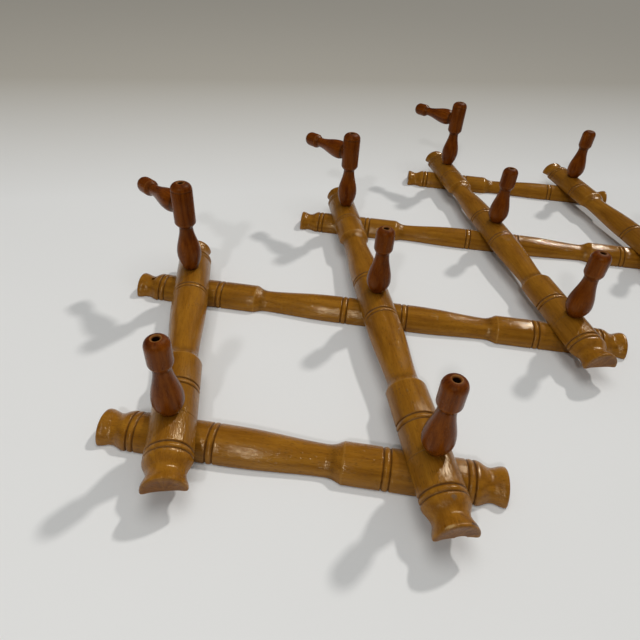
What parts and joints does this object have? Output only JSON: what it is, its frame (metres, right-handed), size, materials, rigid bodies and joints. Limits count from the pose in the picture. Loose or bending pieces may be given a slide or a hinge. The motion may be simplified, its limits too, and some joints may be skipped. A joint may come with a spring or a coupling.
{
  "type": "folding peg rack",
  "caption": "Folding wall rack for hats and coats: half-round turned beech slats in an accordion lattice, pinned by turned pegs, with small hat pegs on the top row.",
  "frame": {"origin": "axis of the upper left wall screw hole, on the wall plane that the lower slats' flat backs lie on", "axes": "+X along the rack's length, +Y up the wall towards the row of hat pegs, +Z out of the wall towards the peg tips"},
  "size_m": [0.8284, 0.4494, 0.1314],
  "materials": {
    "slat_beech": "golden stained beech under satin lacquer",
    "peg_beech": "darker red-brown stained beech under satin lacquer"
  },
  "bodies": {
    "lower_2": {"lower_slat_2": "slat_beech", "post_top_1": "peg_beech", "hat_peg_1": "peg_beech", "peg_middle_2": "peg_beech", "peg_bottom_2": "peg_beech"},
    "lower_1": {"lower_slat_1": "slat_beech", "peg_middle_1": "peg_beech", "peg_bottom_1": "peg_beech"},
    "lower_3": {"lower_slat_3": "slat_beech", "post_top_2": "peg_beech", "hat_peg_2": "peg_beech", "peg_middle_3": "peg_beech", "peg_bottom_3": "peg_beech"},
    "lower_4": {"lower_slat_4": "slat_beech", "post_top_3": "peg_beech", "hat_peg_3": "peg_beech", "peg_middle_4": "peg_beech"},
    "upper_1": {"upper_slat_1": "slat_beech"},
    "upper_2": {"upper_slat_2": "slat_beech"},
    "upper_3": {"upper_slat_3": "slat_beech"},
    "upper_4": {"upper_slat_4": "slat_beech"}
  },
  "joints": [
    {"name": "fold", "type": "hinge", "parent": "lower_2", "child": "upper_2", "pos_m": [0.14915, -0.19437, 0], "axis": [0, 0, 1], "range_deg": [-93, 63]},
    {"name": "fold_top_left", "type": "hinge", "parent": "lower_2", "child": "upper_1", "pos_m": [0.02739, -0.0357, 0], "axis": [0, 0, 1], "range_deg": [-93, 63]},
    {"name": "fold_bottom_centre", "type": "hinge", "parent": "lower_2", "child": "upper_3", "pos_m": [0.2709, -0.35304, 0], "axis": [0, 0, 1], "range_deg": [-93, 63]},
    {"name": "fold_left_end", "type": "hinge", "parent": "upper_1", "child": "lower_1", "pos_m": [-0.09436, -0.19437, 0], "axis": [0, 0, 1], "range_deg": [-63, 93]},
    {"name": "fold_top_centre", "type": "hinge", "parent": "upper_2", "child": "lower_3", "pos_m": [0.2709, -0.0357, 0], "axis": [0, 0, 1], "range_deg": [-63, 93]},
    {"name": "fold_top_right", "type": "hinge", "parent": "upper_3", "child": "lower_4", "pos_m": [0.5144, -0.0357, 0], "axis": [0, 0, 1], "range_deg": [-63, 93]},
    {"name": "fold_bottom_right", "type": "hinge", "parent": "lower_3", "child": "upper_4", "pos_m": [0.5144, -0.35304, 0], "axis": [0, 0, 1], "range_deg": [-93, 63]}
  ],
  "couplings": [
    {"joint": "fold_top_left", "follows": "fold", "ratio": 1},
    {"joint": "fold_bottom_centre", "follows": "fold", "ratio": 1},
    {"joint": "fold_left_end", "follows": "fold", "ratio": -1},
    {"joint": "fold_top_centre", "follows": "fold", "ratio": -1},
    {"joint": "fold_top_right", "follows": "fold", "ratio": -1},
    {"joint": "fold_bottom_right", "follows": "fold", "ratio": 1}
  ]
}
